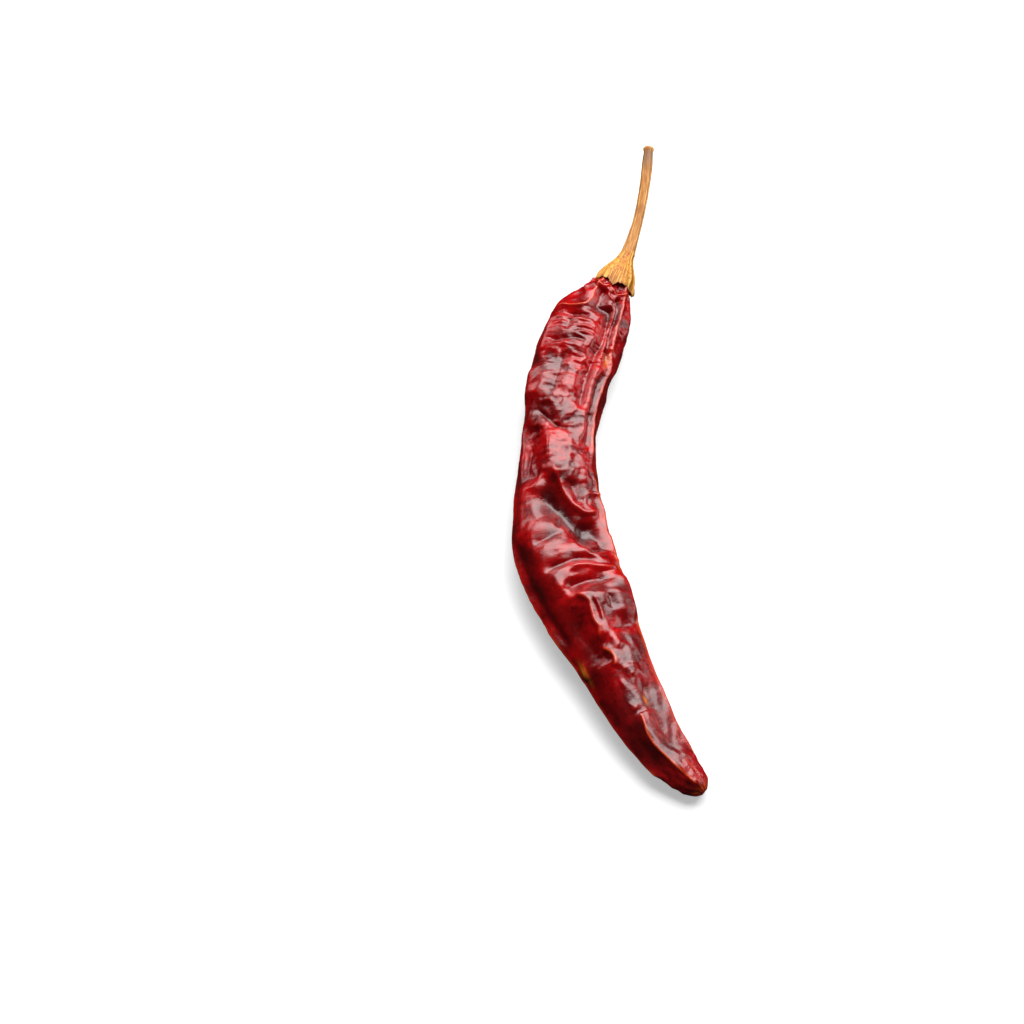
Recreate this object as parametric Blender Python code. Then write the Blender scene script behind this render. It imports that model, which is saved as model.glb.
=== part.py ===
"""A dried red chilli pepper, as picked and dried, lying on a table.

Three pieces: the pod, a flattened and curved tube that tapers to a blunt tip; the calyx, the flared cup
of dried sepals on the pod's collar; and the stem, a thin rod that bends up and away to a clean cut.

Sizes are in millimetres here and become metres when a mesh is made. +Z is up and the table is z = 0.
The tip points along -Y and the stem along +Y. The origin is on the table under the middle of the
chilli's box.
"""

import bmesh
import bpy
import numpy as np
from mathutils import Vector

MM = 0.001

# Driving dimensions, in millimetres
POD_WIDTH = 19.2  # across the belly, the widest place
POD_THICKNESS = 10.6  # from the top to the underside at the belly
COLLAR_RADIUS = 2.4  # rounding of the pod's end, hidden in the calyx
TIP_RADIUS = 2.8  # rounding of the pod's free end
CALYX_RIM = 8.8  # across the rim
CALYX_NECK = 3.0  # across the end that meets the stem
CALYX_WALL = 0.6
STEM_DIAMETER = 2.1  # at its thinnest
FIT_GAP = 0.3  # clearance kept between neighbouring pieces

# The pod's midline from the collar to the tip: x, y, z, then the half width as a share of POD_WIDTH
# and the half thickness as a share of POD_THICKNESS. The shoulder, the belly and the end near the tip
# press a little into the table and are flat there; the stretches between them stand clear of it.
POD_STATIONS = [
    (3.7, 43.4, 6.4, 0.14, 0.25),
    (2.4, 40.9, 5.9, 0.17, 0.31),
    (0.9, 38.3, 5.4, 0.27, 0.40),
    (-1.1, 34.9, 5.1, 0.38, 0.46),
    (-3.8, 28.3, 5.2, 0.43, 0.52),
    (-7.0, 17.3, 5.5, 0.42, 0.50),
    (-9.1, 5.3, 5.8, 0.39, 0.46),
    (-9.6, -6.7, 5.6, 0.44, 0.47),
    (-8.7, -18.7, 5.1, 0.50, 0.50),
    (-5.1, -30.1, 4.9, 0.48, 0.49),
    (-0.1, -41.5, 4.8, 0.38, 0.43),
    (4.6, -52.1, 4.3, 0.30, 0.36),
    (9.8, -61.5, 3.4, 0.235, 0.30),
    (14.6, -66.8, 2.4, 0.18, 0.25),
    (17.9, -69.9, 2.0, 0.13, 0.19),
]

# The stem's midline from the calyx to the cut: x, y, z, then the radius as a share of STEM_DIAMETER.
STEM_STATIONS = [
    (5.5, 48.2, 7.5, 0.66),
    (6.3, 50.7, 8.1, 0.56),
    (7.5, 54.7, 9.1, 0.50),
    (8.6, 59.7, 10.6, 0.50),
    (9.5, 65.7, 12.0, 0.54),
    (10.0, 70.8, 12.9, 0.56),
]

# The calyx's outside, from the neck to the rim: share of its length, and share of the way from the
# neck's radius to the rim's. Its hollow keeps to the same outline, less the wall, as deep as the cup.
CALYX_RIM_CENTRE = (2.2, 40.5, 5.8)
CALYX_OUTLINE = [(0.0, 0.0), (0.14, 0.08), (0.3, 0.28), (0.48, 0.56), (0.66, 0.8), (0.84, 0.94), (1.0, 1.0)]
CUP_DEPTH = 0.6  # share of the calyx's length

# Folds along the pod: a path of (distance from the collar's end, angle round the section), then the
# fold's height and width. The angle is 0 on the side towards +X, 90 on top and 180 on the far side.
LONG_FOLDS = {
    "side_ridge": ([(7, 36), (16, 34), (24, 20), (33, 27), (50, 32), (58, 24)], 0.5, 1.2),
    "side_groove": ([(7, 62), (16, 58), (26, 54), (36, 50), (48, 50)], -0.9, 1.9),
    "belly_crease": ([(78, 98), (86, 96), (93, 97), (98, 112)], -0.4, 1.6),
    "tip_keel": ([(100, 98), (108, 102), (114, 105), (121, 100)], 0.7, 1.1),
}
# Folds across the pod: a path of (angle round the section, distance from the collar's end).
CROSS_FOLDS = {
    "shoulder_wrinkle": ([(60, 21), (90, 22), (120, 22), (150, 19)], -0.4, 1.5),
    "kink": ([(10, 62), (50, 62), (85, 58), (110, 53), (140, 50)], -0.9, 2.6),
    "belly_wrinkle": ([(40, 77), (75, 75), (110, 73), (150, 72)], -0.4, 1.8),
}
FOLD_FADE = 5.0  # length over which a fold dies out at each end, in millimetres

POD_RINGS = 84
POD_SIDES = 36
CALYX_SIDES = 28
STEM_POINTS = 24


def along_curve(stations, shares):
    """Rows read from a smooth curve through the stations at these shares of its length, and the
    distances along it in millimetres."""
    rows = np.array(stations, float)
    reach = np.append(0.0, np.cumsum(np.linalg.norm(np.diff(rows[:, :3], axis=0), axis=1)))
    slopes = np.gradient(rows, reach, axis=0)
    at = np.asarray(shares) * reach[-1]
    k = np.clip(np.searchsorted(reach, at, side="right") - 1, 0, len(reach) - 2)
    span = (reach[k + 1] - reach[k])[:, None]
    t = (at - reach[k])[:, None] / span
    leaving = rows[k] * (2 * t**3 - 3 * t**2 + 1) + span * slopes[k] * (t**3 - 2 * t**2 + t)
    arriving = rows[k + 1] * (3 * t**2 - 2 * t**3) + span * slopes[k + 1] * (t**3 - t**2)
    return leaving + arriving, at


def rounded_end(distance, radius):
    """1 along a tube, falling to 0 at its end as a quarter circle of this radius does."""
    return np.sqrt(1 - np.clip(1 - distance / radius, 0, 1) ** 2)


def fold_height(off, place, ends, height, width):
    """How high a fold stands at a distance off its path, where it dies out towards both its ends."""
    inside = np.minimum(place - ends[0], ends[1] - place)
    fade = np.clip(inside / FOLD_FADE, 0, 1)
    return height * np.exp(-((off / width) ** 2)) * fade * fade * (3 - 2 * fade)


def pod_folds(at, degrees, radius):
    """How far the skin stands out from the plain section at each place, in millimetres."""
    height_here = np.zeros(np.broadcast(at, degrees).shape)
    for path, height, width in LONG_FOLDS.values():
        places, angles = np.array(path, float).T
        off = np.radians(degrees - np.interp(at, places, angles)) * radius
        height_here += fold_height(off, at, (places[0], places[-1]), height, width)
    for path, height, width in CROSS_FOLDS.values():
        angles, places = np.array(path, float).T
        off = at - np.interp(degrees, angles, places)
        ends = np.radians(angles[0]) * radius, np.radians(angles[-1]) * radius
        height_here += fold_height(off, np.radians(degrees) * radius, ends, height, width)
    return height_here


def pod_rings():
    """Rings of points round the pod, from the collar's end to the tip, none of them below the table."""
    t = np.linspace(0, 1, POD_RINGS)
    closer_at_ends = t - 0.8 * np.sin(2 * np.pi * t) / (2 * np.pi)
    rows, at = along_curve(POD_STATIONS, closer_at_ends)
    midline = rows[:, :3]
    forward = np.gradient(midline, axis=0)
    side = np.cross((0.0, 0.0, 1.0), forward)
    side /= np.linalg.norm(side, axis=1, keepdims=True)
    top = np.cross(forward / np.linalg.norm(forward, axis=1, keepdims=True), side)
    ends = rounded_end(at, COLLAR_RADIUS) * rounded_end(at[-1] - at, TIP_RADIUS)
    half_width = (rows[:, 3] * POD_WIDTH * ends)[:, None]
    half_thickness = (rows[:, 4] * POD_THICKNESS * ends)[:, None]
    angle = np.linspace(0, 2 * np.pi, POD_SIDES, endpoint=False)
    folds = pod_folds(at[:, None], np.degrees(angle)[None], (half_width + half_thickness) / 2)
    across = np.cos(angle) * (half_width + folds * ends[:, None])
    upward = np.sin(angle) * (half_thickness + folds * ends[:, None])
    points = midline[:, None] + across[..., None] * side[:, None] + upward[..., None] * top[:, None]
    points[..., 2] = np.maximum(points[..., 2], 0.0)
    return points[1:-1]


def make_pod(material):
    """The pod: each ring becomes a loop of edges, neighbouring loops are bridged and the ends filled."""
    skin = bmesh.new()
    loops = []
    for ring in pod_rings():
        corners = [skin.verts.new(Vector(point) * MM) for point in ring]
        loops.append([skin.edges.new(pair) for pair in zip(corners, corners[1:] + corners[:1])])
    for lower, upper in zip(loops, loops[1:]):
        bmesh.ops.bridge_loops(skin, edges=lower + upper)
    bmesh.ops.holes_fill(skin, edges=loops[0] + loops[-1], sides=POD_SIDES)
    bmesh.ops.recalc_face_normals(skin, faces=skin.faces)
    return finished("pod", skin, material)


def make_calyx(material):
    """The calyx: an outline turned about its axis, out over the sepals and back inside the cup."""
    rim = Vector(CALYX_RIM_CENTRE)
    neck = Vector(STEM_STATIONS[0][:3])
    axis = (rim - neck).normalized()
    neck += axis * FIT_GAP
    length = (rim - neck).length
    along, flare = np.array(CALYX_OUTLINE).T
    radius = (CALYX_NECK + (CALYX_RIM - CALYX_NECK) * flare) / 2
    hollow = along >= 1 - CUP_DEPTH
    outside = list(zip(radius, along * length))
    inside = list(zip(radius[hollow] - CALYX_WALL, along[hollow] * length))[::-1]
    profile = [(0.0, 0.0), *outside, *inside, (0.0, inside[-1][1])]
    cup = bmesh.new()
    corners = [cup.verts.new(Vector((r, 0.0, z)) * MM) for r, z in profile]
    edges = [cup.edges.new(pair) for pair in zip(corners, corners[1:])]
    bmesh.ops.spin(
        cup, geom=corners + edges, cent=(0, 0, 0), axis=(0, 0, 1), angle=2 * np.pi, steps=CALYX_SIDES
    )
    bmesh.ops.remove_doubles(cup, verts=cup.verts, dist=0.001 * MM)
    bmesh.ops.recalc_face_normals(cup, faces=cup.faces)
    made = finished("calyx", cup, material)
    made.rotation_euler = axis.to_track_quat("Z", "Y").to_euler()
    made.location = neck * MM
    return made


def make_stem(material):
    """The stem: a curve with a round bevel, swelling towards the calyx and the cut, with filled ends."""
    rows, _ = along_curve(STEM_STATIONS, np.linspace(0, 1, STEM_POINTS))
    curve = bpy.data.curves.new("stem", "CURVE")
    curve.dimensions = "3D"
    curve.bevel_depth = STEM_DIAMETER * MM
    curve.bevel_resolution = 2
    curve.use_fill_caps = True
    line = curve.splines.new("POLY")
    line.points.add(STEM_POINTS - 1)
    for point, (x, y, z, share) in zip(line.points, rows):
        point.co = (x * MM, y * MM, z * MM, 1.0)
        point.radius = share
    curve.materials.append(material)
    made = bpy.data.objects.new("stem", curve)
    bpy.context.scene.collection.objects.link(made)
    return made


def finished(name, shape, material):
    """A smooth-shaded mesh object from a bmesh."""
    mesh = bpy.data.meshes.new(name)
    shape.to_mesh(mesh)
    shape.free()
    mesh.shade_smooth()
    mesh.set_sharp_from_angle(angle=np.radians(50))
    mesh.materials.append(material)
    made = bpy.data.objects.new(name, mesh)
    bpy.context.scene.collection.objects.link(made)
    return made


def plain_material(name, colour, roughness):
    material = bpy.data.materials.new(name)
    material.use_nodes = True
    shader = material.node_tree.nodes["Principled BSDF"]
    shader.inputs["Base Color"].default_value = (*colour, 1.0)
    shader.inputs["Roughness"].default_value = roughness
    shader.inputs["Metallic"].default_value = 0.0
    return material


def main():
    for leftover in list(bpy.data.objects):
        bpy.data.objects.remove(leftover)
    make_pod(plain_material("dried_pod_skin", (0.24, 0.008, 0.008), 0.3))
    make_calyx(plain_material("dried_sepal", (0.62, 0.38, 0.12), 0.6))
    make_stem(plain_material("dried_stalk", (0.52, 0.27, 0.08), 0.6))


main()
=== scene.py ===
# %% [markdown]
# # A dried red chilli
#
# A dried chilli is three organs that grew as one: a hollow pod whose skin has shrunk into folds, a calyx
# of dried sepals that grips the pod's collar, and the stalk it hung from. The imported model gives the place
# and size of each. This notebook gives each a fine surface and a finish, then a floor, lights and a camera.

import bpy
import numpy as np
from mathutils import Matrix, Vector


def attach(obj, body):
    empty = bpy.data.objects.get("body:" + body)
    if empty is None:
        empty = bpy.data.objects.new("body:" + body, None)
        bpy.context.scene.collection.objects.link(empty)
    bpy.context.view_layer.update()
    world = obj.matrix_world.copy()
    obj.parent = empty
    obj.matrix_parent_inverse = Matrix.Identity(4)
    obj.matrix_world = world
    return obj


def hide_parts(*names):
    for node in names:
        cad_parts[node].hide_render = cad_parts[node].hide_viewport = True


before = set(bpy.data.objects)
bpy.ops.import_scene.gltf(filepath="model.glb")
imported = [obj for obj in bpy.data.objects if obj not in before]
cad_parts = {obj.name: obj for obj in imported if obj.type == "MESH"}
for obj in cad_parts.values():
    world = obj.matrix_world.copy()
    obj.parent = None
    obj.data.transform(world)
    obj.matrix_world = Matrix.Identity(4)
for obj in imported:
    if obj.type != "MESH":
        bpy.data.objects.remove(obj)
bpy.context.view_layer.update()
MM = 0.001

# %% [markdown]
# ## Curves and grids
#
# Every piece here is a tube: rings of points carried along a curve. A curve object with a bevel would make
# a smooth tube at once, but its rings would be out of reach. Read as plain numbers from a few stations,
# each ring can be folded, ribbed or frayed before the mesh is made.


# %% A smooth curve through stations
def along_curve(stations, shares, axes=3):
    """Cubic through the stations: at each share of the length, the two nearest stations and their slopes
    are blended by the Hermite weights. Length is measured in the first few columns, the axes."""
    rows = np.array(stations, float)
    reach = np.append(0.0, np.cumsum(np.linalg.norm(np.diff(rows[:, :axes], axis=0), axis=1)))
    slopes = np.gradient(rows, reach, axis=0)
    at = np.asarray(shares) * reach[-1]
    k = np.clip(np.searchsorted(reach, at, side="right") - 1, 0, len(reach) - 2)
    span = (reach[k + 1] - reach[k])[:, None]
    t = (at - reach[k])[:, None] / span
    leaving = rows[k] * (2 * t**3 - 3 * t**2 + 1) + span * slopes[k] * (t**3 - 2 * t**2 + t)
    arriving = rows[k + 1] * (3 * t**2 - 2 * t**3) + span * slopes[k + 1] * (t**3 - t**2)
    return leaving + arriving, at


def unit(vectors):
    """Each vector divided by its length."""
    return vectors / np.linalg.norm(vectors, axis=-1, keepdims=True)


def side_and_top(midline):
    """Two directions square to a midline: the level one, up crossed with forward, and the one above it,
    forward crossed with the level one."""
    forward = unit(np.gradient(midline, axis=0))
    side = unit(np.cross((0.0, 0.0, 1.0), forward))
    return side, np.cross(forward, side)


def ease(x):
    """0 below 0, 1 above 1, and the smooth step 3x^2 - 2x^3 between."""
    x = np.clip(x, 0, 1)
    return x * x * (3 - 2 * x)


# %% A closed tube from its rings
def tube_object(name, rings, finish, values):
    """Rings of n by m points in mm become a closed mesh: quads between neighbouring rings, and a fan to
    the middle of the first and last. Each named value is stored on the points, and a fan's middle takes
    its ring's mean."""
    n, m = rings.shape[:2]

    def with_poles(field):
        flat = field.reshape(n * m, -1)
        return np.concatenate([flat, flat[:m].mean(0)[None], flat[-m:].mean(0)[None]])

    j = np.arange(m)
    k = (j + 1) % m
    row = (np.arange(n - 1) * m)[:, None]
    quads = np.stack([row + j, row + k, row + m + k, row + m + j], -1).reshape(-1, 4)
    start = np.stack([np.full(m, n * m), k, j], -1)
    end = np.stack([np.full(m, n * m + 1), row[-1] + m + j, row[-1] + m + k], -1)
    mesh = bpy.data.meshes.new(name)
    mesh.from_pydata((with_poles(rings) * MM).tolist(), [], quads.tolist() + start.tolist() + end.tolist())
    mesh.shade_smooth()
    for value_name, field in values.items():
        vector = field.ndim == 3
        slot = mesh.attributes.new(value_name, "FLOAT_VECTOR" if vector else "FLOAT", "POINT")
        slot.data.foreach_set("vector" if vector else "value", with_poles(field).ravel())
    mesh.materials.append(finish)
    made = bpy.data.objects.new(name, mesh)
    bpy.context.scene.collection.objects.link(made)
    print(name, "has", len(mesh.vertices), "points and", len(mesh.polygons), "faces")
    return made


# %% [markdown]
# ## Colours and shader nodes
#
# Colours are written as a painter would read them off a screen, in hex, and turned to the linear values
# that light adds up in. One helper adds any node, with its settings, values and links.


# %% Hex colours and one node helper
def paint(hex_colour):
    """sRGB to linear: c / 12.92 up to 0.04045, and ((c + 0.055) / 1.055)^2.4 above it."""
    c = np.array([int(hex_colour[i : i + 2], 16) for i in (1, 3, 5)]) / 255
    linear = np.where(c <= 0.04045, c / 12.92, ((c + 0.055) / 1.055) ** 2.4)
    return (*linear.tolist(), 1.0)


def add(tree, kind, inputs, **settings):
    """A shader node. Each input takes a link if it is given a socket, and otherwise a value."""
    made = tree.nodes.new("ShaderNode" + kind)
    for name, value in settings.items():
        setattr(made, name, value)
    for name, value in inputs.items():
        if isinstance(value, bpy.types.NodeSocket):
            tree.links.new(value, made.inputs[name])
        else:
            made.inputs[name].default_value = value
    return made


def new_finish(name):
    """An empty material and its node tree, with the output and the main shader joined."""
    finish = bpy.data.materials.new(name)
    finish.use_nodes = True
    return finish, finish.node_tree, finish.node_tree.nodes["Principled BSDF"]


# %% [markdown]
# ## The pod's plain form
#
# Before its folds, the pod is a flattened tube on a curved midline. A lens is nearer the real section than
# an ellipse is, because a drying pod collapses between two stiff edges, so the section's height is
# a power of the sine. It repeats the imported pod's stations, and it is as wide, thick and long.

# %% Stations of the pod
# Midline x, y, z in mm, half width, half thickness, and how far the section goes from oval to lens.
POD_STATIONS = [
    (3.7, 43.4, 6.4, 2.7, 2.6, 0.0),
    (2.4, 40.9, 5.9, 3.3, 3.3, 0.0),
    (0.9, 38.3, 5.4, 5.2, 4.3, 0.0),
    (-1.1, 34.9, 5.1, 7.3, 4.9, 0.0),
    (-3.8, 28.3, 5.2, 8.3, 5.5, 0.1),
    (-7.0, 17.3, 5.5, 8.1, 5.3, 0.1),
    (-9.1, 5.3, 5.8, 7.5, 4.9, 0.2),
    (-9.6, -6.7, 5.6, 8.4, 5.0, 0.3),
    (-8.7, -18.7, 5.1, 9.6, 5.3, 0.3),
    (-5.1, -30.1, 4.9, 9.2, 5.2, 0.3),
    (-0.1, -41.5, 4.8, 7.3, 4.6, 0.35),
    (4.6, -52.1, 4.3, 5.8, 3.8, 0.4),
    (9.8, -61.5, 3.4, 4.5, 3.2, 0.4),
    (14.6, -66.8, 2.4, 3.45, 2.65, 0.4),
    (17.9, -69.9, 2.0, 2.5, 2.0, 0.3),
]
COLLAR_RADIUS = 2.4
TIP_RADIUS = 2.8
POD_RINGS = 620
POD_POINTS = 150  # round each ring

# %% [markdown]
# The grid is finer on top, where the folds are, than underneath. The folds are drawn in two coordinates:
# the distance from the calyx's rim along the pod, and the distance round it from the top line.


# %% Grid over the pod
def rounded_end(distance, radius):
    """A quarter circle of this radius: the root of 1 - (1 - distance / radius)^2, and 1 further in."""
    return np.sqrt(1 - np.clip(1 - distance / radius, 0, 1) ** 2)


t = np.linspace(0, 1, POD_RINGS + 2)
rows, reach = along_curve(POD_STATIONS, t - 0.5 * np.sin(2 * np.pi * t) / (2 * np.pi))
ends = rounded_end(reach, COLLAR_RADIUS) * rounded_end(reach[-1] - reach, TIP_RADIUS)
rows, reach, ends, pod_length = rows[1:-1], reach[1:-1], ends[1:-1], reach[-1]

midline = rows[:, :3]
side, top = side_and_top(midline)
half_width = (rows[:, 3] * ends)[:, None]
half_thickness = (rows[:, 4] * ends)[:, None]
turn = np.linspace(0, 2 * np.pi, POD_POINTS, endpoint=False)[None]
angle = turn + 0.3 * np.cos(turn)

COLLAR_DEPTH = 2.9  # how far the pod's end is inside the rim
s = np.repeat(reach[:, None] - COLLAR_DEPTH, POD_POINTS, axis=1)
mean_radius = (rows[:, 3] + rows[:, 4])[:, None] / 2
v = (np.pi / 2 - angle) * mean_radius
print("pod's midline", round(pod_length, 1), "mm, rings", round(pod_length / POD_RINGS, 2), "mm apart")

# %% Plain surface and its outward directions
sine = np.sin(angle)
section_x = np.cos(angle) * half_width
section_z = np.sign(sine) * np.abs(sine) ** (1 + rows[:, 5][:, None]) * half_thickness
plain = midline[:, None] + section_x[..., None] * side[:, None] + section_z[..., None] * top[:, None]


def surface_normals(points):
    """Cross product of the surface's two directions, along the tube and round its rings."""
    along = np.gradient(points, axis=0)
    round_ring = np.roll(points, -1, axis=1) - np.roll(points, 1, axis=1)
    return unit(np.cross(round_ring, along))


outward = surface_normals(plain)
facing = ((plain - plain.mean(1, keepdims=True)) * outward).sum(-1) > 0
print("share of normals that face out:", float(facing.mean()))

# %% [markdown]
# ## Folds
#
# Skin that shrinks over flesh buckles: it gathers in thin sharp crests with smooth hollows between. Cloth
# simulation makes round pillows, not these creases, so each main fold is drawn as a path on the skin, and its
# height falls off as an exponential of the distance from the path. A power of 1 in that exponential gives a
# sharp crest and a power of 2 a soft one. Different widths on its two sides make a fold lean like a breaking
# wave. A negative height makes a crease: a sharp one with a steep and a gentle wall is what dried skin has,
# where a rounded one would look like a dent in rubber.


# %% Height of one fold
def girth(distance, degrees):
    """Distance round the pod from its top line: the angle from the top times the mean radius there."""
    return np.radians(90 - np.asarray(degrees)) * np.interp(distance, s[:, 0], mean_radius[:, 0])


def fold(path, height, widths, fades=(3, 3), power=1.2):
    """The path's points are (distance along, angle in degrees: 0 on the side towards +X, 90 on top).
    Height times exp(-(d / w)^power), where d is the distance to the path and w its width on that side,
    in mm: first the right hand side of one who walks the path. Eased over the fades, in mm, at its ends."""
    places = np.array([(along, girth(along, degrees)) for along, degrees in path])
    line, _ = along_curve(places, np.linspace(0, 1, 5 * len(places) - 4), axes=2)
    spread = 3.2 * max(widths)
    near = slice(*np.searchsorted(s[:, 0], (line[:, 0].min() - spread, line[:, 0].max() + spread)))
    here = np.stack([s[near], v[near]], -1)
    nearest = np.full(here.shape[:2], 1e9)
    signed = np.zeros_like(nearest)
    place = np.zeros_like(nearest)
    walked = 0.0
    for a, b in zip(line[:-1], line[1:]):
        step = b - a
        length = np.hypot(*step)
        share = np.clip(((here - a) @ step) / length**2, 0, 1)
        gap = here - a - share[..., None] * step
        distance = np.hypot(gap[..., 0], gap[..., 1])
        closer = distance < nearest
        nearest[closer] = distance[closer]
        signed[closer] = (distance * np.sign(step[1] * gap[..., 0] - step[0] * gap[..., 1]))[closer]
        place[closer] = (walked + share * length)[closer]
        walked += length
    width = np.where(signed > 0, widths[0], widths[1])
    eased = np.ones_like(place)
    if fades[0]:
        eased *= ease(place / fades[0])
    if fades[1]:
        eased *= ease((walked - place) / fades[1])
    out = np.zeros_like(s)
    out[near] = height * np.exp(-((nearest / width) ** power)) * eased
    return out


# %% [markdown]
# The folds go from the calyx to the tip. First the puckered shoulder: crests run down from the rim, with
# a deep groove between the two on the right, and a thin zigzag lip follows the calyx's mouth.

# %% Folds at the shoulder
# name: path, height and the two widths in mm, then the fades and the power if they aren't the usual ones.
SHOULDER_FOLDS = {
    "side crest": (
        [(0, 42), (4, 42), (8, 45), (12, 43), (18, 37), (21, 30), (25, 32), (30, 35), (37, 31), (46, 33)],
        0.8, (0.3, 0.7), (0, 5),
    ),
    "inner crest": (
        [(2, 87), (4, 76), (5, 60), (9, 56), (13, 53), (17, 53), (22, 58)], 0.6, (0.4, 0.4), (1, 2)
    ),
    "groove": ([(3, 55), (9, 51), (14, 48), (18, 44), (21, 38)], -1.1, (0.5, 0.9), (1, 3), 1.2),
    "inner groove": (
        [(6, 66), (10, 60), (14, 55), (18, 57), (22, 61), (27, 62), (34, 62)], -1.5, (2.2, 0.5), (2, 4), 1.4
    ),
    "body shoulder": (
        [(9, 78), (13, 76), (16, 74), (21, 78), (26, 80), (32, 78)], 0.5, (2.6, 1.2), (2, 4), 1.6
    ),
    "facet band": ([(21, 53), (26, 53), (31, 52), (36, 52), (41, 53)], 0.5, (1.3, 1.2), (2, 4), 1.8),
    "lower groove": ([(23, 40), (30, 43), (36, 40), (43, 41)], -0.7, (0.6, 0.9), (3, 4), 1.3),
    "left crest": (
        [(1, 113), (4, 108), (7, 100), (9, 104), (10, 122), (10, 147), (12, 160)], 0.8, (1.2, 0.6), (0, 3)
    ),
    "under crest": ([(11.5, 140), (11.5, 115), (11.2, 98), (11, 82)], -0.8, (1.2, 0.4), (3, 2), 1.2),
    "left cell": ([(5, 125), (6, 135), (7, 148)], -0.6, (1.3, 1.3), (1, 1), 2),
    "right cell": ([(2.5, 96), (6, 88), (9.5, 79)], -1.1, (1.4, 1.2), (1, 2), 1.3),
    "thin line": ([(12.9, 124), (12.7, 100), (12.7, 82)], 0.3, (0.35, 0.35), (1, 1)),
    "short dent": ([(12.8, 118), (14, 115), (16, 117)], -0.4, (0.5, 0.5), (1, 1), 1.1),
    "left ridge": ([(11.5, 156), (14, 149), (18, 147), (23, 149)], 0.9, (1.4, 3.0), (2, 4), 1.4),
    "mouth edge": (
        [(2.8, 12), (1.8, 40), (2.8, 62), (1.7, 84), (2.5, 106), (1.5, 132), (2.4, 165)],
        0.4, (0.35, 0.45), (2, 2),
    ),
    "rim pucker": ([(0, 150), (3, 140), (6, 128)], 0.5, (0.7, 0.7), (0, 2)),
    "rim pucker low": ([(0, 12), (3, 10), (8, 8)], 0.5, (0.9, 0.9), (0, 3)),
    "side wall": ([(2, 14), (8, 12), (14, 12)], 0.5, (2.0, 2.0), (2, 4), 2),
}

# %% Wrinkles across the upper body, and the kink below it
BODY_FOLDS = {
    "first wrinkle": (
        [(17.5, 150), (18.4, 125), (17.6, 105), (17.3, 91), (18.2, 76)], -0.6, (0.35, 0.9), (3, 2), 1.1
    ),
    "small ridge": ([(19, 118), (19.2, 100), (19.5, 82)], 0.35, (0.4, 0.5), (1.5, 1)),
    "second wrinkle": ([(21.3, 96), (21.6, 84), (20.8, 74)], -0.4, (0.4, 0.6), (1, 1), 1.1),
    "long hollow": ([(20, 112), (24, 108), (28, 110), (32, 113)], -0.8, (0.9, 1.3), (3, 3), 1.1),
    "left shelf": ([(22, 149), (27, 152), (33, 152)], 1.3, (1.6, 3.4), (4, 3), 1.6),
    "body wrinkle": ([(33, 142), (35.5, 118), (37.5, 95), (38.6, 74)], -1.3, (0.5, 1.8), (3, 2), 1.1),
    "wrinkle root": ([(35, 150), (36, 122)], -0.8, (1.2, 3.0), (2, 4), 1.4),
    "roof edge": ([(38, 108), (43, 105), (47, 102), (50, 97)], 0.8, (1.2, 3.8), (3, 2), 1.4),
    "lower side crest": ([(46, 31), (52, 24), (57, 16), (61, 12)], 0.5, (0.6, 1.0), (3, 3)),
    "kink lip": (
        [(45, 99), (48.7, 93), (50, 88), (52, 83), (54, 74), (55.7, 63), (56.6, 52), (56.4, 40), (55, 30)],
        0.9, (0.45, 1.6), (4, 2), 1.2,
    ),
    "kink": (
        [(51, 137), (52.7, 119), (54, 105), (55.8, 91), (58.3, 80), (61, 71), (64, 64), (66.5, 57)],
        -2.6, (2.4, 4.4), (5, 5), 1.6,
    ),
    "left wall": ([(35, 144), (41, 138), (47, 133), (51, 129)], -1.3, (2.6, 3.4), (4, 3), 2),
    "kink side": ([(57.5, 48), (60.5, 46), (64, 43), (67.5, 37)], -1.2, (2.4, 1.6), (2.5, 2.0), 3),
    "lip box": ([(54.5, 50), (52.2, 46), (51.8, 30), (51.8, 15)], 0.45, (0.4, 0.4), (1, 1)),
    "lip hollow": ([(49, 72), (52.5, 64), (55, 56)], -0.8, (1.0, 1.8), (2, 1.5), 1.6),
}

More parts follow.
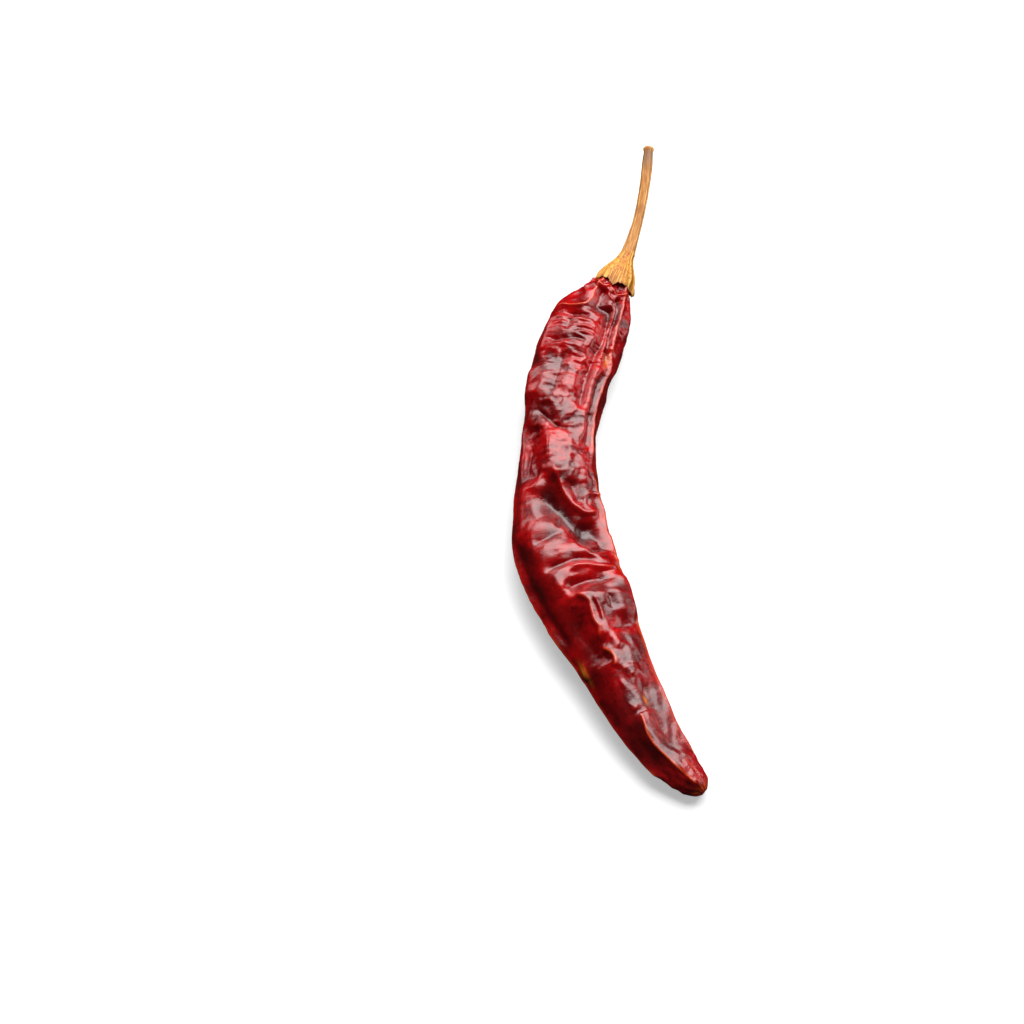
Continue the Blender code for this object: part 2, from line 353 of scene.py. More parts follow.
# %% Folds of the belly, and the keel at the tip
BELLY_FOLDS = {
    "belly shoulder": (
        [(57, 132), (62, 127), (67, 121), (71, 114), (74, 108)], 0.8, (2.4, 3.5), (3, 2), 1.4
    ),
    "patch hollow": ([(62.9, 134), (62.1, 112), (61.2, 98), (60.6, 84)], -0.7, (0.9, 1.5), (2, 2.5), 1.3),
    "patch step": ([(57.5, 93), (60, 93)], -0.35, (0.4, 0.4), (0.7, 0.7), 2),
    "band hollow": (
        [(68.6, 128), (67.9, 105), (67.7, 88), (68.1, 70), (69, 52)], -1.0, (0.9, 1.3), (2, 2.5), 1.3
    ),
    "hair ridge": (
        [(62.8, 86), (65, 75), (67.3, 64), (69.2, 50), (70.4, 34)], 0.4, (0.9, 0.9), (2, 1.5), 1.4
    ),
    "narrow crest": (
        [(69.5, 98), (69.3, 86), (69.6, 74), (70.5, 60), (71, 45), (70.8, 25)], 0.6, (0.6, 0.5), (2, 1.5), 1.6
    ),
    "loop": ([(70.6, 25), (68.5, 14), (65, 12), (61, 18)], 0.3, (0.6, 0.8), (1, 2)),
    "valley": ([(73.2, 116), (72.7, 92), (72.8, 75), (73.3, 58), (74, 34)], -1.4, (1.0, 1.6), (2, 4), 1.3),
    "plateau": ([(75, 118), (76, 94), (77, 68), (78, 30)], 0.5, (3.0, 1.0), (3, 3), 1.6),
    "wavy crease": (
        [(74, 104), (76, 96), (77.2, 91), (79, 93), (81.3, 96), (83.0, 95), (84, 98), (86, 103)],
        0.9, (0.45, 2.2), (2, 2), 1.2,
    ),
    "crease hollow": ([(75.5, 90), (79, 87), (83, 89)], -0.35, (0.7, 0.7), (1, 1.5), 2),
    "right shelf": ([(71, 34), (76, 28), (81, 30), (84, 32)], 1.4, (3.4, 1.2), (3, 3), 2),
    "smooth facet": ([(75, 128), (80, 122), (85, 120), (90, 122)], -1.0, (3.0, 2.0), (4, 3), 1.8),
    "belly twig": ([(76.5, 83), (79.5, 82), (82.5, 85)], 0.35, (0.3, 0.3), (1, 1)),
    "belly notch": ([(76.8, 64), (78.6, 63), (81, 67)], -0.5, (0.5, 0.9), (1, 2), 1.1),
    "plateau foot": ([(84.2, 84), (84.2, 60), (83.6, 30)], -0.7, (0.8, 2.0), (2, 3), 1.2),
    "knuckle": ([(85, 86), (87, 80), (88.5, 76)], 0.4, (0.9, 0.9), (1, 1), 2),
    "curl": (
        [(86.5, 107), (87.5, 100), (88.6, 95), (90, 94), (91, 98), (91.5, 103)], 0.6, (0.4, 1.4), (1, 1)
    ),
    "curl hollow": ([(87.6, 108), (90.4, 106)], -0.55, (1.8, 0.9), (1, 1), 1.4),
    "chin": ([(91.5, 82), (93, 76), (94.5, 70)], 0.35, (1.0, 1.0), (1, 1), 2),
    "chin patch": ([(95, 108), (95, 92)], 0.35, (0.9, 0.9), (1, 1), 2),
    "left pinch": ([(91, 178), (91, 164), (91.5, 152)], -0.7, (0.6, 0.8), (2, 2), 1.4),
    "left fin": ([(86, 146), (89, 150), (91.5, 152)], 0.35, (1.0, 0.8), (2, 1)),
    "shank patch": ([(100.3, 118), (100.3, 102), (99, 88)], 0.4, (0.5, 1.2), (1.5, 1.5)),
    "tip keel": (
        [(101, 97), (103, 98), (105, 105), (108, 108), (110, 106), (113, 104), (116, 103), (120.5, 98)],
        0.55, (0.7, 1.6), (1, 3), 1,
    ),
    "keel side right": ([(94, 62), (100, 62), (106, 66), (113, 66)], -0.7, (1.8, 2.2), (4, 4), 2),
    "keel side left": ([(102, 136), (107, 134), (113, 130)], -0.25, (1.5, 1.5), (2, 2), 2),
}

# %% [markdown]
# Two stiff edges run down the pod's sides, where its upper and lower walls meet. Each is one long low crest.

# %% Edges of the pod, and the total
EDGES = {
    "right edge": ([(50, 18), (60, 16), (75, 15), (90, 15), (105, 14), (119, 14)], 0.6, (0.9, 1.2), (6, 9)),
    "tip side": ([(92, 4), (100, 4), (107, 4), (117, 6)], 0.5, (2.0, 2.0), (9, 9), 2),
    "left edge": (
        [(58, 172), (70, 173), (80, 174), (92, 174), (105, 175), (119, 173)], 0.6, (1.0, 1.2), (6, 8)
    ),
    "left band": ([(60, 156), (68, 155), (76, 154), (84, 158)], -0.6, (1.2, 1.4), (4, 3), 2),
    "upper left edge": ([(6, 168), (14, 172), (24, 174), (34, 176)], 0.4, (1.2, 1.4), (3, 6)),
}
all_folds = SHOULDER_FOLDS | BODY_FOLDS | BELLY_FOLDS | EDGES
crests = np.zeros_like(s)
hollows = np.zeros_like(s)
for row in all_folds.values():
    height_here = fold(*row)
    crests += np.maximum(height_here, 0)
    hollows += np.minimum(height_here, 0)
print("crests up to", round(float(crests.max()), 2), "mm, hollows down to", round(float(hollows.min()), 2))

# %% [markdown]
# On the sharpest crests the red pigment is thin and the skin shows orange, partly its own paler colour and
# partly a painted glow of light through it. The top of each such fold, by its share of the fold's height,
# becomes a value on the points for the finish to read.

# %% Orange rims
RIM_FROM = 0.78  # share of a fold's height above which it is orange
RIM_STRENGTH = {
    "side crest": 0.7, "inner crest": 0.3, "left crest": 0.7, "thin line": 0.3, "mouth edge": 0.7,
    "lower side crest": 0.9, "loop": 0.5, "narrow crest": 0.1, "wavy crease": 0.25, "curl": 1.0,
    "left fin": 0.6, "tip keel": 1.0, "right edge": 1.0, "left edge": 1.0, "upper left edge": 0.7,
}
rims = np.zeros_like(s)
for name, strength in RIM_STRENGTH.items():
    share_of_height = fold(*all_folds[name]) / all_folds[name][1]
    rims = np.maximum(rims, strength * ease((share_of_height - RIM_FROM) / (1 - RIM_FROM)))
print("share of skin on a rim:", round(float((rims > 0.5).mean()), 3))

# %% [markdown]
# ## Wrinkles too small to draw
#
# Between the drawn folds the skin is never flat. Noise with a chosen wrinkle length is made by filtering
# random numbers: their Fourier transform is multiplied by a bell that keeps waves near one length.
# A constant minus the noise's size has thin crests where the noise changes sign, so it looks like
# crumpled skin. The noise node of a shader could do this too, but then the mesh itself would be smooth.


# %% Filtered noise on the pod's grid
GIRTH_MM = 2 * np.pi * 6.3  # round the pod at a middling place


def ripple(seed, along_mm, round_mm, spread=0.45):
    """Random numbers whose Fourier waves are kept near the two lengths: exp(-((|k| - 1) / spread)^2),
    where k is the wave's rate times the length it should have. Scaled to a deviation of 1."""
    noise = np.random.default_rng(seed).standard_normal(s.shape)
    rate_along = np.fft.fftfreq(POD_RINGS, pod_length / POD_RINGS)[:, None] * along_mm
    rate_round = np.fft.fftfreq(POD_POINTS, GIRTH_MM / POD_POINTS)[None] * round_mm
    kept = np.exp(-(((np.hypot(rate_along, rate_round) - 1) / spread) ** 2))
    waves = np.real(np.fft.ifft2(np.fft.fft2(noise) * kept))
    return waves / waves.std()


def bump(along_centre, along_half, degrees_centre, degrees_half):
    """A soft-edged patch on the pod: exp of minus the squared distances over the half sizes, summed."""
    off = (np.degrees(angle) - degrees_centre + 180) % 360 - 180
    return np.exp(-(((s - along_centre) / along_half) ** 2) - (off / degrees_half) ** 2)


# %% [markdown]
# The lower half's two edges and the very tip are thin as well, so they join the orange rims and their painted
# glow.

# %% Orange edges and tip
tip_end = ease((s - pod_length + COLLAR_DEPTH + 2.2) / 1.8)
edge_band = bump(84, 30, 14, 8) + 0.6 * bump(84, 26, 177, 4) + 0.6 * tip_end
rims = np.clip(np.maximum(rims, edge_band), 0, 1)

# %% [markdown]
# Each kind of wrinkle has its own zone: the shoulder is crumpled, the upper body has wrinkles across it,
# and the smooth facets of the belly and the shank have hardly any.

# %% Six kinds of wrinkle, and where each is
crumple = 0.5 - np.abs(ripple(3, 9.0, 7.0))
cross_wrinkles = 0.5 - np.abs(ripple(5, 2.8, 6.5))
soft_lumps = ripple(8, 12.0, 9.0)
fine = ripple(11, 0.95, 5.0, 0.35)
worms = 0.5 - np.abs(ripple(31, 1.5, 3.4))
dapple = ripple(21, 4.6, 3.4)
shoulder_zone = ease((16 - s) / 8)
body_zone = ease((s - 8) / 6) * ease((53 - s) / 6) * ease((np.sin(angle) - 0.35) / 0.4)
belly_zone = ease((s - 60) / 6) * ease((84 - s) / 8)
under = ease((-np.sin(angle) - 0.1) / 0.6) * (1 - 0.6 * ease((s - 88) / 10))
smooth_facets = np.clip(bump(78, 22, 138, 26) + bump(106, 14, 130, 45) + bump(106, 14, 50, 40), 0, 1)
calm = (1 - 0.9 * smooth_facets) * (1 - 0.3 * np.clip(crests / 0.8, 0, 1))
wrinkles = (
    crumple * (0.07 + 0.08 * shoulder_zone + 0.07 * under) * calm
    + worms * (0.01 + 0.035 * body_zone + 0.025 * belly_zone) * calm
    + cross_wrinkles * (0.015 + 0.13 * body_zone + 0.06 * belly_zone + 0.03 * under) * calm
    + soft_lumps * (0.07 + 0.08 * under) * (0.3 + 0.7 * calm)
    + dapple * 0.055 * (0.3 + 0.7 * calm)
    + fine * (0.006 + 0.009 * body_zone) * (0.3 + 0.7 * calm)
)
wrinkles *= ease((s + 1) / 3) * ends[:, None]
print("wrinkles reach", round(float(wrinkles.min()), 2), "to", round(float(wrinkles.max()), 2), "mm")

# %% The folded surface
# The relief moves each point straight out or in, and none ends up under the plane the pod lies on.
relief = (crests + hollows) * ends[:, None] + wrinkles
skin_points = plain + relief[..., None] * outward
skin_points[..., 2] = np.maximum(skin_points[..., 2], 0.0)


# %% [markdown]
# Where the skin bends sharply outward it is thin, and a paler red is painted there as a glow of light through
# it. Where it bends inward, a deeper red is painted as shade. Both follow from how the relief differs from
# its own blur.


# %% How sharply the skin bends
def blurred(field, length_mm):
    """The field's Fourier waves times exp(-(rate * length)^2 * 5), a Gaussian blur about that wide."""
    rate_along = np.fft.fftfreq(POD_RINGS, pod_length / POD_RINGS)[:, None]
    rate_round = np.fft.fftfreq(POD_POINTS, GIRTH_MM / POD_POINTS)[None]
    kept = np.exp(-(rate_along**2 + rate_round**2) * length_mm**2 * 5)
    return np.real(np.fft.ifft2(np.fft.fft2(field) * kept))


bend = relief - blurred(relief, 1.2)
wide_bend = relief - blurred(relief, 3.5)
# Painted glow on the sharp crests and painted shade in the hollows, both from how sharply the skin bends.
crest_glow_value = np.clip(bend / 0.5, 0, 1)
hollow_shade_value = np.clip(-wide_bend / 0.7, 0, 1)
straight = np.stack([s, mean_radius * np.cos(angle), mean_radius * np.sin(angle)], -1)
print("share of skin on a crest:", round(float((crest_glow_value > 0.5).mean()), 3))

# %% [markdown]
# ## The pod's finish
#
# Dried chilli skin is a film of red pigment under a thin natural wax. The wax makes a broad soft gloss over a
# deep red body, with fine hair-like wrinkles that run round the pod and break the gloss up. Patterns that a
# rule can give, such as blotches, come from noise nodes. What depends on the pod's form, such as where the
# skin is thin or smooth, and where shade and glow are painted, was worked out with the relief, so it comes as
# values stored on the points.

# %% What the skin's finish reads
skin, tree, shader = new_finish("dried_waxy_chilli_skin")
# Straight is the pod unbent: mm along it, then across and up, so a pattern on it follows the skin.
straight_mm = add(tree, "Attribute", {}, attribute_name="straight").outputs["Vector"]
# The crest value carries a painted glow on sharp crests, the next value a painted shade, and the rim value
# orange rims that are partly painted glow.
crest = add(tree, "Attribute", {}, attribute_name="crest").outputs["Fac"]
painted_shade = add(tree, "Attribute", {}, attribute_name="painted_shade").outputs["Fac"]
rim = add(tree, "Attribute", {}, attribute_name="rim").outputs["Fac"]
amber = add(tree, "Attribute", {}, attribute_name="amber").outputs["Fac"]
hairy = add(tree, "Attribute", {}, attribute_name="hairy").outputs["Fac"]
dull = add(tree, "Attribute", {}, attribute_name="dull").outputs["Fac"]
thin = add(tree, "Attribute", {}, attribute_name="thin").outputs["Fac"]

# %% [markdown]
# The colour is built up as a painter would: two reds in blotches, dark specks of pigment, then a painted
# shade of deeper red in the hollows, on the smooth facets and under the kink's lip, and a painted glow of
# paler red on the crests.

# %% Blotches, specks, painted shade and painted glow
# Blotches are about 6 mm across and specks under 1 mm: a scale is how many there are in a mm.
blotches = add(tree, "TexNoise", {"Vector": straight_mm, "Scale": 0.16, "Detail": 5.0, "Roughness": 0.6})
speckle = add(tree, "TexNoise", {"Vector": straight_mm, "Scale": 1.3, "Detail": 3.0, "Roughness": 0.7})
blotch_range = add(tree, "MapRange", {"Value": blotches.outputs["Fac"], "From Min": 0.4, "From Max": 0.6})
body = add(
    tree,
    "Mix",
    {0: blotch_range.outputs["Result"], 6: paint("#660104"), 7: paint("#ba040a")},
    data_type="RGBA",
)
speckle_range = add(
    tree, "MapRange", {"Value": speckle.outputs["Fac"], "From Min": 0.5, "From Max": 0.7, "To Max": 0.75}
)
mottled = add(
    tree,
    "Mix",
    {0: speckle_range.outputs["Result"], 6: body.outputs[2], 7: paint("#560104")},
    data_type="RGBA",
)
# Painted shade: a deeper red where the shade value is high, in hollows, on the smooth facets and under the
# kink's lip.
shaded = add(tree, "Mix", {0: painted_shade, 6: mottled.outputs[2], 7: paint("#440103")}, data_type="RGBA")
# Painted glow: a paler red on the crests, standing in for light through the thin skin.
lit = add(tree, "Mix", {0: crest, 6: shaded.outputs[2], 7: paint("#b3120c")}, data_type="RGBA")

# %% [markdown]
# Over the reds lie the thin places: orange rims, broken by the specks, partly the paler flesh showing through
# and partly a painted glow of light through the thin skin; fine veins in the thin skin of the shank; and
# three amber spots. A vein is where a noise, drawn out along the pod, passes through its middle value.

# %% Rims, veins and amber spots
rim_breaks = add(
    tree, "MapRange", {"Value": speckle.outputs["Fac"], "From Min": 0.35, "From Max": 0.55, "To Min": 0.35}
)
broken_rim = add(tree, "Math", {0: rim, 1: rim_breaks.outputs["Result"]}, operation="MULTIPLY")
# The orange rims are partly the skin's own paler colour and partly a painted glow of light through it.
rimmed = add(
    tree, "Mix", {0: broken_rim.outputs[0], 6: lit.outputs[2], 7: paint("#e0501e")}, data_type="RGBA"
)
drawn_out = add(tree, "Mapping", {"Vector": straight_mm, "Scale": (0.2, 0.7, 0.7)})
vein_noise = add(
    tree, "TexNoise", {"Vector": drawn_out.outputs["Vector"], "Scale": 0.6, "Detail": 2.0, "Distortion": 0.4}
)
from_middle = add(tree, "Math", {0: vein_noise.outputs["Fac"], 1: 0.5}, operation="SUBTRACT")
vein_gap = add(tree, "Math", {0: from_middle.outputs[0]}, operation="ABSOLUTE")
vein = add(tree, "MapRange", {"Value": vein_gap.outputs[0], "From Max": 0.012, "To Min": 0.35, "To Max": 0.0})
vein_here = add(tree, "Math", {0: vein.outputs["Result"], 1: thin}, operation="MULTIPLY")
veined = add(
    tree, "Mix", {0: vein_here.outputs[0], 6: rimmed.outputs[2], 7: paint("#d0502a")}, data_type="RGBA"
)
ambered = add(tree, "Mix", {0: amber, 6: veined.outputs[2], 7: paint("#ee8622")}, data_type="RGBA")
tree.links.new(ambered.outputs[2], shader.inputs["Base Color"])

# %% [markdown]
# The hair wrinkles are too fine for the mesh, so a Bump node tilts the light on them. They are about
# 0.5 mm apart and run some 2 mm round the pod, which a noise squeezed along the pod gives. Plant wax on a
# dry skin has an IOR of 1.45 to 1.5, and a second, clearer gloss over it gives the brightest glints. Skin
# this thin lets a little light through, most of it red.

# %% Hair wrinkles and wax
squeezed = add(tree, "Mapping", {"Vector": straight_mm, "Scale": (1.9, 0.55, 0.55)})
hairs = add(
    tree, "TexNoise", {"Vector": squeezed.outputs["Vector"], "Scale": 1.0, "Detail": 3.0, "Distortion": 2.4}
)
grain = add(tree, "TexNoise", {"Vector": straight_mm, "Scale": 2.5, "Detail": 2.0})
hair_height = add(tree, "Math", {0: hairs.outputs["Fac"], 1: hairy}, operation="MULTIPLY")
hair_bump = add(tree, "Bump", {"Height": hair_height.outputs[0], "Strength": 0.25, "Distance": 0.0003})
over_hairs = {"Strength": 0.25, "Distance": 0.0001, "Normal": hair_bump.outputs["Normal"]}
grain_bump = add(tree, "Bump", {"Height": grain.outputs["Fac"], **over_hairs})
tree.links.new(grain_bump.outputs["Normal"], shader.inputs["Normal"])
gloss = add(tree, "MapRange", {"Value": dull, "To Min": 0.21, "To Max": 0.3})
tree.links.new(gloss.outputs["Result"], shader.inputs["Roughness"])
shader.inputs["IOR"].default_value = 1.5
shader.inputs["Coat Weight"].default_value = 0.28
shader.inputs["Coat Roughness"].default_value = 0.14
shader.inputs["Subsurface Weight"].default_value = 0.06
shader.inputs["Subsurface Radius"].default_value = (1.0, 0.12, 0.05)
shader.inputs["Subsurface Scale"].default_value = 0.0012
print(skin.name, "has", len(tree.nodes), "nodes")

# %% [markdown]
# The values on the points say where the finish changes: a painted shade of deep red in hollows, on the smooth
# facets and on the slope under the kink's lip; hair wrinkles all over but fewer on the facets; and towards
# the tip a duller gloss and thinner skin with veins, mostly on its +X side.

# %% The pod
amber_value = 0.6 * bump(19.9, 1.4, 40, 4) + bump(89.5, 1.8, 156, 5) + 0.7 * bump(99.5, 0.9, 72, 3)
hairy_value = 0.25 + 0.75 * calm
# Painted shade over the hollows, the smooth facets and the slope under the kink's lip.
kink_slope_shade = fold([(49, 132), (53.5, 105), (58.5, 76), (65, 52)], 1.0, (0.8, 4.5), (3, 3), 2)
painted_shade_value = np.clip(0.35 * hollow_shade_value + 0.6 * smooth_facets + 0.7 * kink_slope_shade, 0, 1)
dull_value = ease((s - 92) / 10)
thin_value = ease((s - 84) / 12) * ease((np.cos(angle) + 0.1) / 0.5) + 0.1
pod_values = {
    "crest": crest_glow_value, "painted_shade": painted_shade_value, "rim": rims, "straight": straight,
    "amber": np.clip(amber_value, 0, 1), "hairy": hairy_value, "dull": dull_value, "thin": thin_value,
}
pod = tube_object("pod_skin", skin_points, skin, pod_values)
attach(pod, "root")
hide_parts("pod")

# %% [markdown]
# ## The calyx and the stalk
#
# The stalk is a ribbed green stem dried to straw, and its ribs run on down the calyx, five sepals fused
# into a cup with a frayed rim. A turned profile would be too regular, so both are rings along a curve,
# whose radius swings with the angle for the ribs. The two use the same ribs, so these meet at the neck.

# %% Stations of the stalk and outline of the calyx
# Midline x, y, z in mm and radius.
STALK_STATIONS = [
    (5.3, 47.6, 7.3, 1.5),
    (6.2, 50.4, 8.0, 1.25),
    (7.5, 54.7, 9.1, 1.05),
    (8.6, 59.7, 10.6, 1.05),
    (9.5, 65.7, 12.0, 1.12),
    (10.0, 70.8, 12.9, 1.15),
]
RIM_CENTRE = np.array((2.2, 40.5, 5.8))
NECK_CENTRE = np.array((5.5, 48.2, 7.5))
# Share of the way from the neck to the rim, and radius in mm; past the rim it turns back inside.
CALYX_OUTLINE = [
    (-0.3, 0.85),
    (0.0, 1.42),
    (0.15, 1.65),
    (0.3, 2.1),
    (0.48, 2.95),
    (0.66, 3.7),
    (0.84, 4.15),
    (1.0, 4.4),
]
CALYX_INSIDE = [(0.98, 4.05), (0.8, 3.75), (0.6, 3.1), (0.5, 1.5)]
CALYX_POINTS = 220  # round each ring
CALYX_RINGS = 150
INNER_RINGS = 24
BIG_RIBS = (9, 4)  # how many, and the seed of their unevenness
SMALL_RIBS = (31, 6)


# %% Ribs
def ribs(around, count, seed):
    """Uneven ribs: a rounded crest for each, with the angle swayed by two slow sines of random phase."""
    phase = np.random.default_rng(seed).uniform(0, 2 * np.pi, 3)
    swayed = around + 0.25 * np.sin(2 * around + phase[0]) + 0.12 * np.sin(3 * around + phase[1])
    return 1 - 2 * np.abs(np.sin(count * swayed / 2 + phase[2])) ** 0.8


# %% Calyx surface
calyx_axis = unit(RIM_CENTRE - NECK_CENTRE)
calyx_length = np.linalg.norm(RIM_CENTRE - NECK_CENTRE)
calyx_side = unit(np.cross((0.0, 0.0, 1.0), calyx_axis))
calyx_top = np.cross(calyx_axis, calyx_side)
outline, _ = along_curve(np.array(CALYX_OUTLINE) * (calyx_length, 1), np.linspace(0, 1, CALYX_RINGS), axes=2)
inside, _ = along_curve(np.array(CALYX_INSIDE) * (calyx_length, 1), np.linspace(0, 1, INNER_RINGS), axes=2)
down = np.concatenate([outline[:, 0], inside[:, 0]])[:, None]
radius = np.concatenate([outline[:, 1], inside[:, 1]])[:, None]
around = np.linspace(0, 2 * np.pi, CALYX_POINTS, endpoint=False)[None]
share = np.clip(down / calyx_length, 0, 1)
big_ribs = ribs(np.pi - around, *BIG_RIBS)
small_ribs = ribs(np.pi - around, *SMALL_RIBS)
flare = ease(share)
outer = np.concatenate([np.ones(CALYX_RINGS), np.linspace(0.6, 0, INNER_RINGS)])[:, None]
calyx_radius = radius + outer * (big_ribs * (0.05 + 0.13 * flare) + small_ribs * (0.03 + 0.04 * flare))
calyx_radius += outer * 0.28 * ease((share - 0.7) / 0.3) * np.sin(5 * around + 2.2)

# %% Frayed rim, and the calyx's points
# The rim's length sways with the angle: 5 times round for the sepals, and more often for the tears.
sway = 0.35 * np.sin(5 * around + 0.6) + 0.2 * np.sin(8 * around + 2.0)
sway += 0.15 * np.sin(13 * around + 1.0) + 0.12 * np.sin(23 * around)
fray = ease((share - 0.72) / 0.28) * (sway + 0.10 * small_ribs)
calyx_ring = np.cos(around)[..., None] * calyx_side + np.sin(around)[..., None] * calyx_top
calyx_points = NECK_CENTRE + (down + fray)[..., None] * calyx_axis + calyx_radius[..., None] * calyx_ring
print("calyx rim", round(2 * float(calyx_radius.max()), 1), "mm across")

# %% Stalk surface
STALK_RINGS = 260
STALK_POINTS = 96
stalk_rows, stalk_at = along_curve(STALK_STATIONS, np.linspace(0, 1, STALK_RINGS))
stalk_side, stalk_top = side_and_top(stalk_rows[:, :3])
stalk_around = np.linspace(0, 2 * np.pi, STALK_POINTS, endpoint=False)[None]
twist = 0.02 * stalk_at[:, None]
stalk_ribs = ribs(stalk_around + twist, *BIG_RIBS)
stalk_fine = ribs(stalk_around + twist, *SMALL_RIBS)

# %% [markdown]
# The cut end dried with a slight collar and a waist below it.

# %% Cut end, and the stalk's points
to_cut = stalk_at[-1] - stalk_at[:, None]
collar = 0.10 * np.exp(-(((to_cut - 0.5) / 0.4) ** 2)) - 0.16 * np.exp(-(((to_cut - 1.3) / 1.6) ** 2))
stalk_radius = stalk_rows[:, 3][:, None] + 0.05 * stalk_ribs + 0.025 * stalk_fine + collar
stalk_radius = stalk_radius * rounded_end(to_cut + 0.25, 0.6)
stalk_ring = np.cos(stalk_around)[..., None] * stalk_side[:, None]
stalk_ring = stalk_ring + np.sin(stalk_around)[..., None] * stalk_top[:, None]
stalk_points = stalk_rows[:, None, :3] + stalk_radius[..., None] * stalk_ring
print("stalk", round(float(stalk_at[-1]), 1), "mm long")

# %% [markdown]
# Both are lignified plant fibre, straw yellow on the calyx and tan on the stalk. The fibres run along the
# piece, with brown streaks of their own, paler on top of the ribs, and the grooves between the ribs darkened
# towards brown as painted shade. Dry fibre has no wax, so it is satin at most. One function makes both
# finishes, because only their colours differ.


# %% Dried straw fibre
STREAKS_PER_MM = 3.2  # across the fibre; along it they are nine times as long


def straw_finish(name, pale, straw, groove):
    """Fibre that runs along the piece: noise squeezed across it gives streaks, and the ribs' heights tint
    them, with a painted shade of brown in the grooves."""
    finish, tree, shader = new_finish(name)
    fibre = add(tree, "Attribute", {}, attribute_name="fibre").outputs["Vector"]
    rib = add(tree, "Attribute", {}, attribute_name="rib").outputs["Fac"]
    aged = add(tree, "Attribute", {}, attribute_name="aged").outputs["Fac"]
    squeezed = add(tree, "Mapping", {"Vector": fibre, "Scale": (0.35, STREAKS_PER_MM, STREAKS_PER_MM)})
    streaks = add(
        tree,
        "TexNoise",
        {"Vector": squeezed.outputs["Vector"], "Scale": 1.0, "Detail": 5.0, "Roughness": 0.65},
    )
    streak_range = add(
        tree, "MapRange", {"Value": streaks.outputs["Fac"], "From Min": 0.42, "From Max": 0.66}
    )
    lighter = add(tree, "Mix", {0: rib, 6: paint(straw), 7: paint(pale)}, data_type="RGBA")
    streaked = add(
        tree,
        "Mix",
        {0: streak_range.outputs["Result"], 6: lighter.outputs[2], 7: paint(groove)},
        data_type="RGBA",
    )
    # Painted shade: the grooves between the ribs are darkened towards the groove colour.
    valley = add(tree, "MapRange", {"Value": rib, "From Max": 0.45, "To Min": 0.7, "To Max": 0.0})
    groove_shaded = add(
        tree, "Mix", {0: valley.outputs["Result"], 6: streaked.outputs[2], 7: paint(groove)}, data_type="RGBA"
    )
    old = add(tree, "Mix", {0: aged, 6: groove_shaded.outputs[2], 7: paint("#6b4c33")}, data_type="RGBA")
    tree.links.new(old.outputs[2], shader.inputs["Base Color"])
    bump_node = add(tree, "Bump", {"Height": streaks.outputs["Fac"], "Strength": 0.5, "Distance": 0.0002})
    tree.links.new(bump_node.outputs["Normal"], shader.inputs["Normal"])
    shader.inputs["Roughness"].default_value = 0.55
    shader.inputs["IOR"].default_value = 1.5
    return finish


sepal = straw_finish("dried_sepal_fibre", "#fbcb5e", "#e8961a", "#94480a")
stalk_fibre = straw_finish("dried_stalk_fibre", "#f7c47e", "#e8a04a", "#a5601f")

# %% The calyx
# Fibre is the piece unbent, in mm, rib its height from groove to rib, and aged how brown it has gone:
# inside the cup and at its rim.
calyx_fibre = np.stack([down + 0 * around, calyx_radius * np.cos(around), calyx_radius * np.sin(around)], -1)
calyx_rib = np.clip(0.55 + 0.25 * big_ribs + 0.3 * small_ribs, 0, 1) + 0 * down
calyx_aged = np.clip(1 - outer * 1.6, 0, 1) * 0.8 + 0.35 * np.exp(-(((share - 1) / 0.05) ** 2)) + 0 * around
calyx_values = {"fibre": calyx_fibre, "rib": calyx_rib, "aged": calyx_aged}
calyx = tube_object("calyx_cup", calyx_points, sepal, calyx_values)
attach(calyx, "root")
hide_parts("calyx")

# %% The stalk
# It has gone brown in the last few millimetres before the cut, and the cut itself is paler.
stalk_across = stalk_radius * np.cos(stalk_around)
stalk_up = stalk_radius * np.sin(stalk_around)
stalk_fibre_mm = np.stack([stalk_at[:, None] + 0 * stalk_around, stalk_across, stalk_up], -1)
stalk_rib = np.clip(0.5 + 0.3 * stalk_ribs + 0.3 * stalk_fine, 0, 1)
stalk_aged = 0.75 * ease((7 - to_cut) / 5) * ease((to_cut - 0.4) / 1.2) + 0 * stalk_around
stalk_values = {"fibre": stalk_fibre_mm, "rib": stalk_rib, "aged": stalk_aged}
stalk = tube_object("stalk", stalk_points, stalk_fibre, stalk_values)
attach(stalk, "root")
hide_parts("stem")

# %% [markdown]
# ## Floor, light and camera
#
# A chilli on a sheet of white paper, lit as for a product shot. The sheet is a single quad. It glows a
# little, so that it stays white while it still takes a shadow. It is hidden from the pod's reflections and
# gives it no bounce light, because so much white from below would grey the red of the sides.

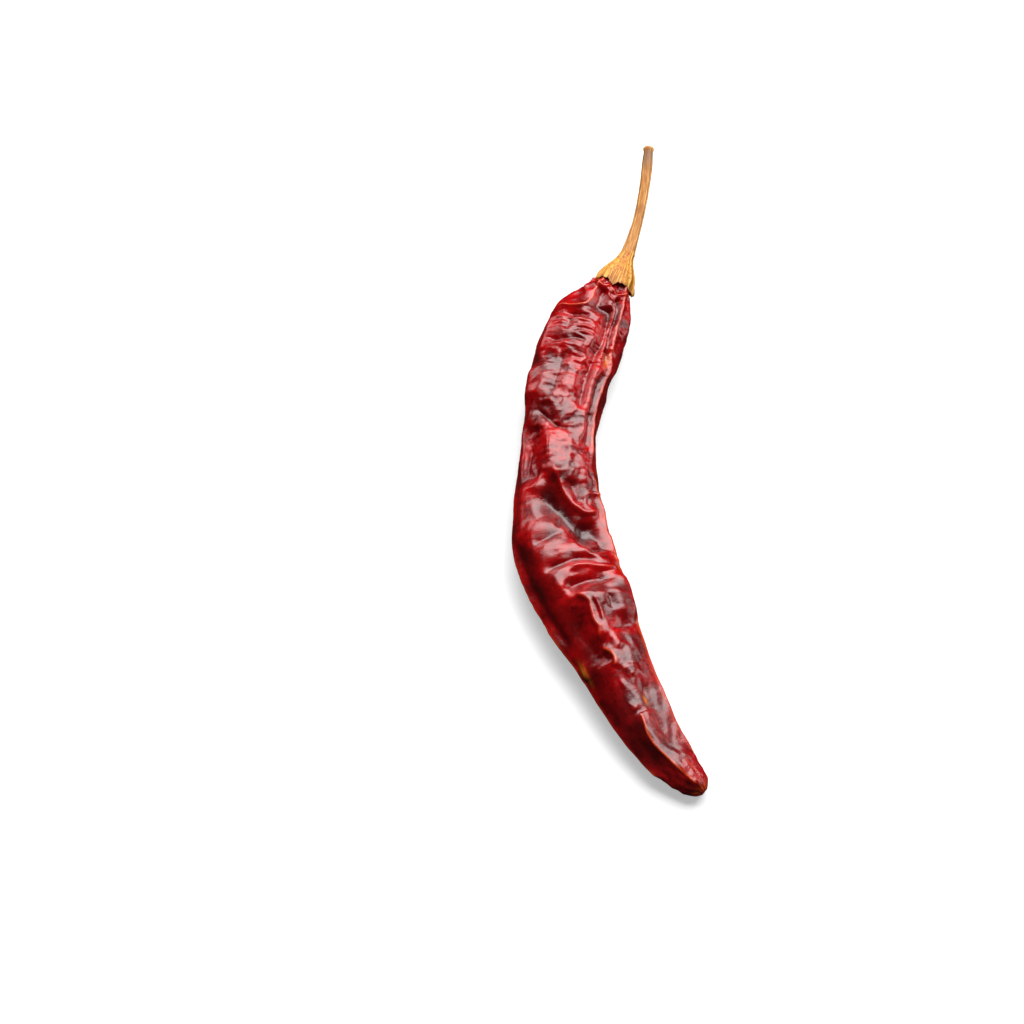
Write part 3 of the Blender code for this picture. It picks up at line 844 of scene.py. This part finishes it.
# %% Floor
FLOOR_HALF = 3.0  # m
paper, tree, shader = new_finish("matt_white_paper")
shader.inputs["Base Color"].default_value = paint("#d8d8d8")
shader.inputs["Emission Color"].default_value = paint("#ffffff")
shader.inputs["Emission Strength"].default_value = 0.4
shader.inputs["Roughness"].default_value = 0.9
shader.inputs["Specular IOR Level"].default_value = 0.0
floor_mesh = bpy.data.meshes.new("floor")
corners = FLOOR_HALF * np.array([(-1, -1, 0), (1, -1, 0), (1, 1, 0), (-1, 1, 0)])
floor_mesh.from_pydata(corners.tolist(), [], [(0, 1, 2, 3)])
floor_mesh.materials.append(paper)
floor = bpy.data.objects.new("floor", floor_mesh)
bpy.context.scene.collection.objects.link(floor)
floor.visible_glossy = False
floor.visible_diffuse = False

# %% [markdown]
# The big soft box stands above and behind, and its long soft mirror image is what draws the pod's form.
# Two low boxes, left behind and right, put a gleam on the sides. A weak fill from the front lifts the
# shadows, and is left out of reflections, so it doesn't flatten the gloss.


# %% Lights
def soft_box(name, place, size, watts):
    """A white rectangular area light at a place in metres, turned to face the origin."""
    lamp = bpy.data.lights.new(name, "AREA")
    lamp.shape = "RECTANGLE"
    lamp.size, lamp.size_y = size
    lamp.energy = watts
    made = bpy.data.objects.new(name, lamp)
    made.location = place
    made.rotation_euler = (-Vector(place)).to_track_quat("-Z", "Y").to_euler()
    bpy.context.scene.collection.objects.link(made)
    return made


soft_box("main_box", (0.14, 0.46, 0.66), (1.0, 0.8), 15.5)
soft_box("left_box", (-0.6, 0.73, 0.32), (0.62, 0.34), 2.0)
fill = soft_box("fill_box", (-0.4, -0.7, 0.6), (0.8, 0.8), 0.5)
fill.visible_glossy = False
soft_box("right_box", (1.0, 0.15, 0.2), (0.8, 0.36), 2.2)

# %% Dim room light
world = bpy.data.worlds.new("studio")
world.use_nodes = True
world.node_tree.nodes["Background"].inputs["Color"].default_value = paint("#ffffff")
world.node_tree.nodes["Background"].inputs["Strength"].default_value = 0.022
bpy.context.scene.world = world

# %% [markdown]
# A long lens from half a metre, looking down at 62 degrees, keeps the pod's proportions as the eye has them.

# %% Camera
LENS = 100.0  # mm, on a sensor 36 mm wide
ELEVATION = np.radians(62.0)
AIM = np.array((-0.0186, -0.0087, 0.0))
DISTANCE = 0.5689
lens = bpy.data.cameras.new("camera")
lens.lens = LENS
lens.sensor_width = 36.0
lens.clip_start = 0.01
camera = bpy.data.objects.new("camera", lens)
camera.location = AIM + DISTANCE * np.array((0.0, -np.cos(ELEVATION), np.sin(ELEVATION)))
camera.rotation_euler = (np.pi / 2 - ELEVATION, 0.0, 0.0)
bpy.context.scene.collection.objects.link(camera)
bpy.context.scene.camera = camera
bpy.context.scene.view_settings.view_transform = "Standard"
